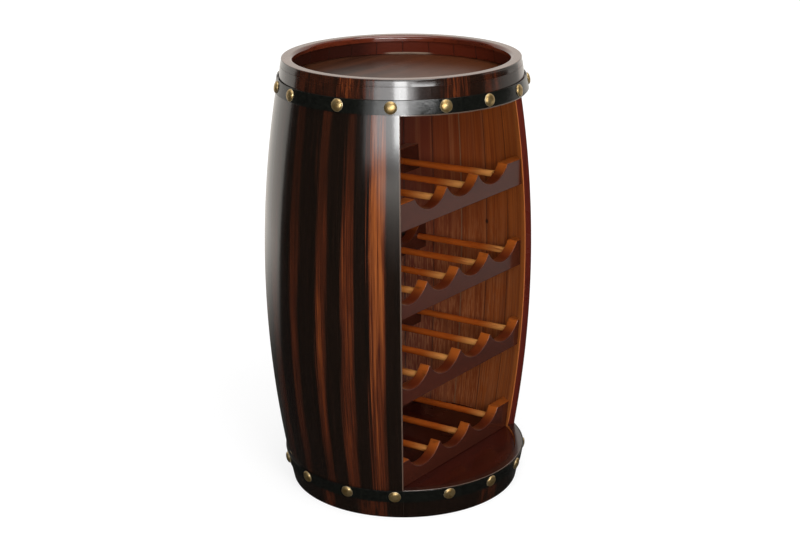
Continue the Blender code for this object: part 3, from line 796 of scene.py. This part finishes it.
def studMeshes(name, foot):
    # a brim and a quarter ellipse turned about each stud's own axis, square to the hoop
    shape, width = studShape, hoopShape["width"]
    radius, brim, sink, sides, lip = (shape[key] for key in ("radius", "brim", "sink", "sides", "lip"))
    rise, neck = np.linspace(0, np.pi / 2, shape["domeSteps"])[:-1], radius - shape["neck"]
    dome = pairs(neck * np.cos(rise), brim + (shape["height"] - brim) * np.sin(rise))
    edge = [[neck - lip, -sink], [radius, lip], [radius - lip, brim * shape["brimShare"]]]
    profile = np.concatenate([edge, dome])
    slope = math.atan2(float(wallRadius(foot) - wallRadius(foot + width)), width)
    seat = float(wallRadius(foot + width / 2)) + hoopShape["clearance"] + hoopShape["thickness"]
    faceSets = domeFaces(sides, len(profile))
    picks = [np.tile(np.arange(len(profile) - 1) < len(edge), sides), np.ones(sides), np.zeros(sides)]
    parts = []
    for number in range(shape["count"]):
        azimuth = (shape["turn"] + 360 * number / shape["count"] + 180) % 360 - 180
        azimuth = math.radians(azimuth + shape["offsets"][name].get(round(azimuth), 0.0))
        side, up, outward = axesAt(azimuth, slope)
        centre = turn(seat, foot + width / 2, azimuth)
        ring = circle(side, up, sides)
        points = centre + profile[None, :, :1] * ring[:, None, :] + profile[None, :, 1:] * outward
        poles = centre + np.array([[-sink], [shape["height"]]]) * outward
        parts.append((np.concatenate([points.reshape(-1, 3), poles]), faceSets, picks))
    return joined(parts)


for name, foot in hoopShape["feet"].items():
    addPiece(f"{name}Hoop", hoopMesh(foot), [f"{name}_hoop"], [metals["hoopSteel"]])
    addPiece(f"{name}Studs", studMeshes(name, foot), [f"{name}_hoop"],
             [metals["studBrass"], metals["studBrimHighlight"]], 30)
print("hoops made")


# Shelves: two scalloped rails and the rods between them

shelfShape = dict(
    reach=[0.118, 0.111, 0.115, 0.104], crest=[0.5223, 0.3788, 0.2393, 0.0908], cradles=[3, 4, 4, 3],
    pitch=0.0853, depth=0.0235, crestFlat=0.002,
    crestRound=[(-0.00085, 0.00035), (-0.0004, 0.00005), (0.0004, 0.00005), (0.00085, 0.00035)],
    arcShare=0.985, arcPoints=33, endPoints=7, footPoints=9, footReach=0.12, railHeight=0.044,
    railThickness=0.019, backDrop=0.008, lowestFoot=0.0468, edgeRound=0.0012, rodRadius=0.0056,
    rodDrop=0.020, rodSeat=0.0095, rodSides=28, rodEnd=0.001, rodEndRadius=0.82, edgeSteps=5, leastMitre=0.4,
    edgeRows=2,
)
# the scallop tips painted lighter and warmer towards each crest, painted light that leaves the hollows in
# painted
# shade: how far below the crests it starts and where it is full, and its colour
railEdgeLook = dict(colours=((72, 24, 9), (96, 38, 14), (44, 14, 6)), along=(30, 10, 30), seed=6.0, peel=0.12,
                    gloss=0.3, coat=0.15)
crestLight = dict(start=0.022, full=0.003, colour=(158, 80, 26))


def railOutline(count, crest, foot):
    # outline in (x, z) from the left end round the top to the right end and back below:
    # arcs of radius (c^2 + d^2) / 2d between crests, with half chord c and depth d; ends marked by -1 and 1
    shape = shelfShape
    pitch, depth = shape["pitch"], shape["depth"]
    chord = (pitch - shape["crestFlat"]) / 2
    radius = (chord ** 2 + depth ** 2) / (2 * depth)
    reach = math.atan2(chord, radius - depth) * shape["arcShare"]
    angle = np.linspace(-reach, reach, shape["arcPoints"])
    arc = pairs(radius * np.sin(angle), crest - depth + radius - radius * np.cos(angle))
    tops = [arc + [(i - (count - 1) / 2) * pitch, 0] for i in range(count)]
    crests = [np.array([[(i - count / 2) * pitch + step, crest - dip] for step, dip in shape["crestRound"]])
              for i in range(count + 1)]
    crests[0], crests[-1] = crests[0][1:], crests[-1][:-1]
    crests[0][0, 1] = crests[-1][-1, 1] = crest
    top = np.concatenate([part for pair in zip(crests, tops + [np.empty((0, 2))]) for part in pair])
    ends, feet = shape["endPoints"], shape["footPoints"]
    side = pairs(np.nan, np.linspace(crest, foot, ends))
    below = pairs(np.linspace(shape["footReach"], -shape["footReach"], feet), foot)
    end = np.repeat([-1, 0, 1, 0], [ends, len(top), ends, feet])
    isTop = np.repeat([0, 1, 0], [ends - 1, len(top) + 1, ends + feet])
    return np.concatenate([side[::-1], top, side, below]), end, isTop


def railMesh(count, crest, foot, front):
    # the outline stood at each depth y, its ends on the wall at x = sqrt(room(z)^2 - y^2), drawn in at both
    # faces by a quarter round, along the mitre of its corners; the edge wood ends some rows before each face
    outline, end, isTop = railOutline(count, crest, foot)
    shape = shelfShape
    size, thickness, edge = shape["edgeRound"], shape["railThickness"], shape["edgeRows"]
    angle = np.linspace(0, np.pi / 2, shape["edgeSteps"])
    fall, away = size * (1 - np.cos(angle)), size * (1 - np.sin(angle))
    y = front + np.concatenate([fall, [thickness / 2], thickness - fall[::-1]])[:, None]
    inset = np.concatenate([away, [0], away[::-1]])
    z = outline[None, :, 1]
    wall = np.sqrt((roomRadius(z) - barrel["play"]) ** 2 - y ** 2)
    flat = pairs(np.where(end == 0, outline[None, :, 0], end * wall), z)
    ahead = np.roll(flat, -1, axis=1) - flat
    ahead /= np.linalg.norm(ahead, axis=-1, keepdims=True)
    normal = pairs(-ahead[..., 1], ahead[..., 0])
    before = np.roll(normal, 1, axis=1)
    meeting = 1 + np.sum(normal * before, axis=-1, keepdims=True)
    mitre = (normal + before) / meeting.clip(shape["leastMitre"])
    x, z = np.moveaxis(flat - mitre * inset[:, None, None], -1, 0)
    points = np.stack([x, y + barrel["axisY"] + 0 * x, z], axis=-1)
    rows, columns = points.shape[:2]
    strip = np.pad(np.ones(rows - 1 - 2 * edge), edge)
    picks = [np.outer(strip, isTop).ravel(), np.array([0]), np.array([0])]
    return points.reshape(-1, 3), tubeFaces(rows, columns), picks


def rodMesh(x, reach, height):
    # a cylinder with eased ends, from the middle of the front rail down to the lower back rail
    shape = shelfShape
    drop, sides, end = shape["backDrop"], shape["rodSides"], shape["rodEnd"]
    span = 2 * reach - shape["railThickness"]
    along = np.array([0, span, -drop]) / math.hypot(span, drop)
    up = np.array([0, -along[2], along[1]])
    middle = np.array([x, barrel["axisY"], height - drop / 2])
    half = (reach - shape["railThickness"] + shape["rodSeat"]) / along[1]
    stations = np.array([-half, end - half, -half / 2, 0, half / 2, half - end, half])
    radius = np.full(len(stations), shape["rodRadius"])
    radius[[0, -1]] *= shape["rodEndRadius"]
    ring = circle(np.array([1.0, 0, 0]), up, sides)
    points = middle + stations[:, None, None] * along + radius[:, None, None] * ring
    faceSets = tubeFaces(len(stations), sides)
    return points.reshape(-1, 3), faceSets, [np.zeros(len(faces)) for faces in faceSets]


shelves = zip(shelfShape["reach"], shelfShape["crest"], shelfShape["cradles"])
for number, (reach, crest, cradles) in enumerate(shelves, 1):
    # painted light: the scallop tips grow paler towards each crest, leaving the hollows in painted shade
    litCrests = ((0, 0, 1), crest - crestLight["start"], crest - crestLight["full"], crestLight["colour"])
    edge = makeBoardMaterial(f"railEdgeWood{number}", railEdgeLook | {"warmSide": litCrests})
    railMaterials = [boards["railLacquer"], edge]
    behind = reach - shelfShape["railThickness"]
    for side, drop, front in (("front", 0, -reach), ("back", shelfShape["backDrop"], behind)):
        foot = max(crest - shelfShape["railHeight"] - drop, shelfShape["lowestFoot"])
        shape = railMesh(cradles, crest - drop, foot, front)
        addPiece(f"{side}Rail{number}", shape, [f"{side}_rail_{number}"], railMaterials)
    for place in range(cradles + 1):
        x = (place - cradles / 2) * shelfShape["pitch"]
        shape = rodMesh(x, reach, crest - shelfShape["rodDrop"])
        nodes = [f"shelf_{number}_rod_{place + 1}"]
        addPiece(f"shelf{number}Rod{place + 1}", shape, nodes, [boards["rodWood"]])
print("shelves made")


# Studio: pale floor, white surroundings, soft lights

# Ranges as above, in metres or as a ratio. The floor's pale side starts at a line that leans by so much x for
# each y, behind the rack and in front of it; the wedge opens to the camera, and its glow starts so far off.
studio = dict(
    floorSize=60.0, ambient=0.45, dark=0.02, white=(1, 1, 1, 1), warmWhite=(1, 0.95, 0.88, 1),
    plainFloor=(0.8, 0.8, 0.8, 1), litFloor=(0.3, 0.3, 0.3, 1), ownGlow=(0.4, 1.6, 0.78, 0.98),
    sideShift=0.04, backLean=0.2, frontLean=0.5, sideEdge=(-0.01, 0.03), frontFade=(-0.9, 0.1, 0.6, 1.0),
    paleReach=(0.5, 1.75, 0.04, 0.85), wedgeTip=1.0, wedge=(0.28, 0.5, 1.0, 0.0), glowStart=1.7,
    glowLimit=10.0, glow=0.25, worldBehind=(0.43, 0.50, 0.02, 0.85), worldAbove=(0.5, 0.8, 0.0, 0.6),
)


def byRay(tree, plain, shiny, seen):
    # one shader for diffuse rays, one for glossy rays, one for the camera and through glass
    light = addNode(tree, "LightPath")
    glossy = addNode(tree, "MixShader", {0: light["Is Glossy Ray"], 1: plain, 2: shiny})[0]
    direct = calc("MAXIMUM", light["Is Camera Ray"], light["Is Transmission Ray"])
    return addNode(tree, "MixShader", {0: direct, 1: glossy, 2: seen})[0]


def addFloor():
    # a large square under the rack: white but for the rack's soft shadow; polished surfaces see it pale
    # behind the rack and on its right, fading towards it, dark on its left, and lit in a wedge to the camera
    half = studio["floorSize"] / 2
    mesh = bpy.data.meshes.new("studioFloor")
    corners = [(-half, -half, 0), (half, -half, 0), (half, half, 0), (-half, half, 0)]
    mesh.from_pydata(corners, [], [(0, 1, 2, 3)])
    floor = addObject("studioFloor", mesh)
    material, tree, _ = newMaterial("studioFloor")
    tree.nodes.clear()
    place = axisPlace(tree)
    x, y = place["X"], place["Y"]
    distance = length(x, y)
    lean = calc("MAXIMUM", y, 0.0) * studio["backLean"] + calc("MINIMUM", y, 0.0) * studio["frontLean"]
    paleSide = between(x + studio["sideShift"] + lean, *studio["sideEdge"]) * between(y, *studio["frontFade"])
    pale = paleSide * between(distance, *studio["paleReach"])
    towardX, towardY = cameraView["heading"]
    ahead = x * -towardX + y * -towardY
    aside = abs(x * towardY + y * -towardX)
    ratio = aside / calc("MAXIMUM", ahead - studio["wedgeTip"], 0.05)
    reach = calc("MINIMUM", ahead - studio["glowStart"], studio["glowLimit"]) * studio["glow"]
    glow = reach * between(ratio, *studio["wedge"])
    shade = calc("MAXIMUM", calc("MAXIMUM", pale, glow), studio["dark"])
    plain = addNode(tree, "BsdfDiffuse", {"Color": studio["plainFloor"]})[0]
    lit = addNode(tree, "BsdfDiffuse", {"Color": studio["litFloor"]})[0]
    own = addNode(tree, "Emission", {"Strength": between(distance, *studio["ownGlow"])})[0]
    seen = addNode(tree, "AddShader", {0: lit, 1: own})[0]
    mirrored = addNode(tree, "Emission", {"Color": studio["warmWhite"], "Strength": shade})[0]
    addNode(tree, "OutputMaterial", {"Surface": byRay(tree, plain, mirrored, seen)})
    mesh.materials.append(material)


def makeWorld():
    # white to the camera, an even light on surfaces; polished surfaces see it pale behind the rack and above
    world = bpy.data.worlds.new("studio")
    bpy.context.scene.world = world
    world.use_nodes = True
    tree = world.node_tree
    tree.nodes.clear()
    heading = addNode(tree, "SeparateXYZ", {0: addNode(tree, "TexCoord")["Generated"]})
    x, y = heading["X"], heading["Y"]
    level = length(x, y)
    towardX, towardY = cameraView["heading"]
    behind = (x * towardX + y * towardY) / calc("MAXIMUM", level, 0.01)
    above = between(heading["Z"], *studio["worldAbove"])
    mirrored = calc("MAXIMUM", between(behind, *studio["worldBehind"]), above)
    plain = addNode(tree, "Background", {"Color": studio["white"], "Strength": studio["ambient"]})[0]
    seen = addNode(tree, "Background", {"Color": studio["white"], "Strength": 1.0})[0]
    shiny = addNode(tree, "Background", {"Color": studio["warmWhite"], "Strength": mirrored})[0]
    addNode(tree, "OutputWorld", {"Surface": byRay(tree, plain, shiny, seen)})


# Each light: width, height, watts, azimuth and elevation seen from the rack's middle, distance
lightMiddle = 0.36
lights = {
    "overheadBox": (1.4, 1.4, 18.0, -20, 80, 2.0),
    "openingLight": (0.9, 0.9, 26.0, -34, 26, 2.6),
    "cameraWide": (2.25, 0.7, 6.6, -62, 12.2, 2.70),
    "cameraMiddle": (1.6, 0.6, 9.8, -59.5, 13.3, 2.68),
    "cameraCore": (0.5, 0.56, 11.4, -54.0, 14.0, 2.66),
}


def addLight(name, width, height, watts, azimuth, elevation, distance):
    # an area light on a sphere round the rack, facing its middle
    right, up, out = axesAt(math.radians(azimuth), math.radians(elevation))
    data = bpy.data.lights.new(name, "AREA")
    data.shape = "RECTANGLE"
    data.size, data.size_y, data.energy = width, height, watts
    spot = np.array([0, barrel["axisY"], lightMiddle]) + out * distance
    setAxes(addObject(name, data), right, up, out, spot)


addFloor()
makeWorld()
for name, light in lights.items():
    addLight(name, *light)
bpy.context.scene.view_settings.view_transform = "Standard"
print("studio made")
